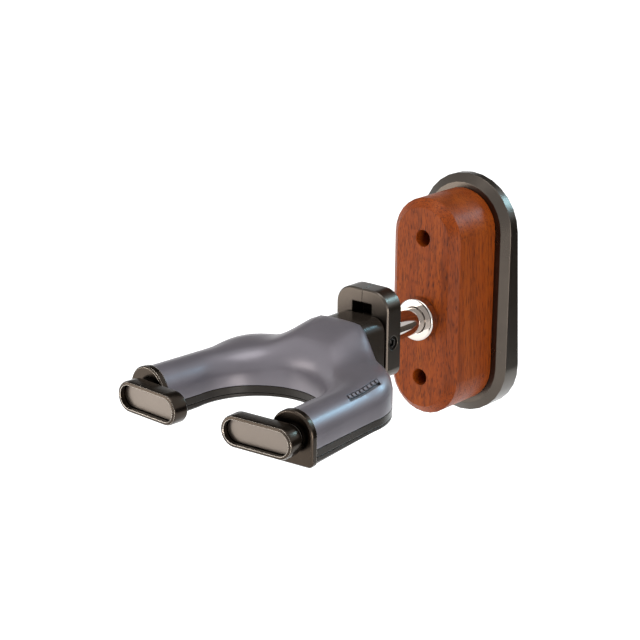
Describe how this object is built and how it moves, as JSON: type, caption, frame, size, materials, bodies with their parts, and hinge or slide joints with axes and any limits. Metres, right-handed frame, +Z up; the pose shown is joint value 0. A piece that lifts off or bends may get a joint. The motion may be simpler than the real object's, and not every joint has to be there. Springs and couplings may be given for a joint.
{
  "type": "wall guitar hanger",
  "caption": "Wall guitar hanger: a wooden block on a metal wall plate carries a chromed rod and a slotted bracket; a sliding U-shaped yoke closes its mouth with swinging gates.",
  "frame": {"origin": "on the wall's surface, behind the middle of the block and plate (mount wall_face)", "axes": "+Z up, +Y into the wall, +X to the right of someone who faces the wall; the yoke stands out along -Y"},
  "size_m": [0.1016, 0.194, 0.1175],
  "materials": {
    "black_nickel": "semi-gloss brown-black",
    "gunmetal": "semi-gloss dark bronze grey",
    "gate_panel": "satin warm grey",
    "satin_cover": "satin grey-violet metallic",
    "black_shell": "semi-gloss black",
    "black_screw": "black oxide",
    "wood": "satin varnished reddish-brown",
    "chrome": "polished",
    "steel": "plain",
    "bushing": "dark acetal"
  },
  "bodies": {
    "wall_mount": {"wall_plate": "gunmetal", "wood_block": "wood", "mounting_rod": "chrome", "front_collar": "chrome", "rear_washer": "steel", "rear_nut": "steel", "plate_screw_upper": "steel", "plate_screw_lower": "steel"},
    "bracket": {"bracket_left": "gunmetal", "bracket_right": "gunmetal", "side_screw": "black_screw", "bracket_dowel": "steel", "anchor_blade": "steel", "lift_spring": "steel"},
    "yoke": {"yoke_frame": "black_shell", "yoke_cover": "satin_cover", "bottom_tray": "black_shell", "tray_screw_rear_left": "steel", "tray_screw_rear_right": "steel", "tray_screw_front_left": "steel", "tray_screw_front_right": "steel", "end_collar_left": "black_nickel", "front_bush_left": "bushing", "rear_bush_left": "bushing", "rocker_pin_left": "steel", "end_collar_right": "black_nickel", "front_bush_right": "bushing", "rear_bush_right": "bushing", "rocker_pin_right": "steel", "grip_strip": "satin_cover"},
    "left_rocker": {"rocker_left": "steel"},
    "right_rocker": {"rocker_right": "steel"},
    "left_gate": {"gate_left": "black_nickel", "gate_panel_left": "gate_panel", "gate_shaft_left": "steel", "crank_left": "steel"},
    "right_gate": {"gate_right": "black_nickel", "gate_panel_right": "gate_panel", "gate_shaft_right": "steel", "crank_right": "steel"}
  },
  "joints": [
    {"name": "bracket_swivel", "type": "hinge", "parent": "wall_mount", "child": "bracket", "pos_m": [0, -0.08211, 0.00123], "axis": [0, 0.9976, -0.0698], "range_deg": [-20, 20]},
    {"name": "yoke_travel", "type": "slide", "parent": "bracket", "child": "yoke", "axis": [0, 0.0698, 0.9976], "range_m": [0, 0.0065], "deforming": ["lift_spring"]},
    {"name": "left_gate_swing", "type": "hinge", "parent": "yoke", "child": "left_gate", "pos_m": [-0.0405, -0.18199, -0.00061], "axis": [-0.0698, -0.9951, 0.0696], "range_deg": [0, 90]},
    {"name": "left_rocker_tilt", "type": "hinge", "parent": "yoke", "child": "left_rocker", "pos_m": [-0.023, -0.12443, -0.00463], "axis": [0, 0.9976, -0.0698], "range_deg": [0, 23.51]},
    {"name": "right_gate_swing", "type": "hinge", "parent": "yoke", "child": "right_gate", "pos_m": [0.0405, -0.18199, -0.00061], "axis": [-0.0698, 0.9951, -0.0696], "range_deg": [0, 90]},
    {"name": "right_rocker_tilt", "type": "hinge", "parent": "yoke", "child": "right_rocker", "pos_m": [0.023, -0.12443, -0.00463], "axis": [0, -0.9976, 0.0698], "range_deg": [0, 23.51]}
  ],
  "couplings": [
    {"joint": "left_gate_swing", "follows": "yoke_travel", "rad_per_m": 241.65},
    {"joint": "left_rocker_tilt", "follows": "yoke_travel", "rad_per_m": 62.976},
    {"joint": "right_gate_swing", "follows": "yoke_travel", "rad_per_m": 241.65},
    {"joint": "right_rocker_tilt", "follows": "yoke_travel", "rad_per_m": 62.976}
  ]
}
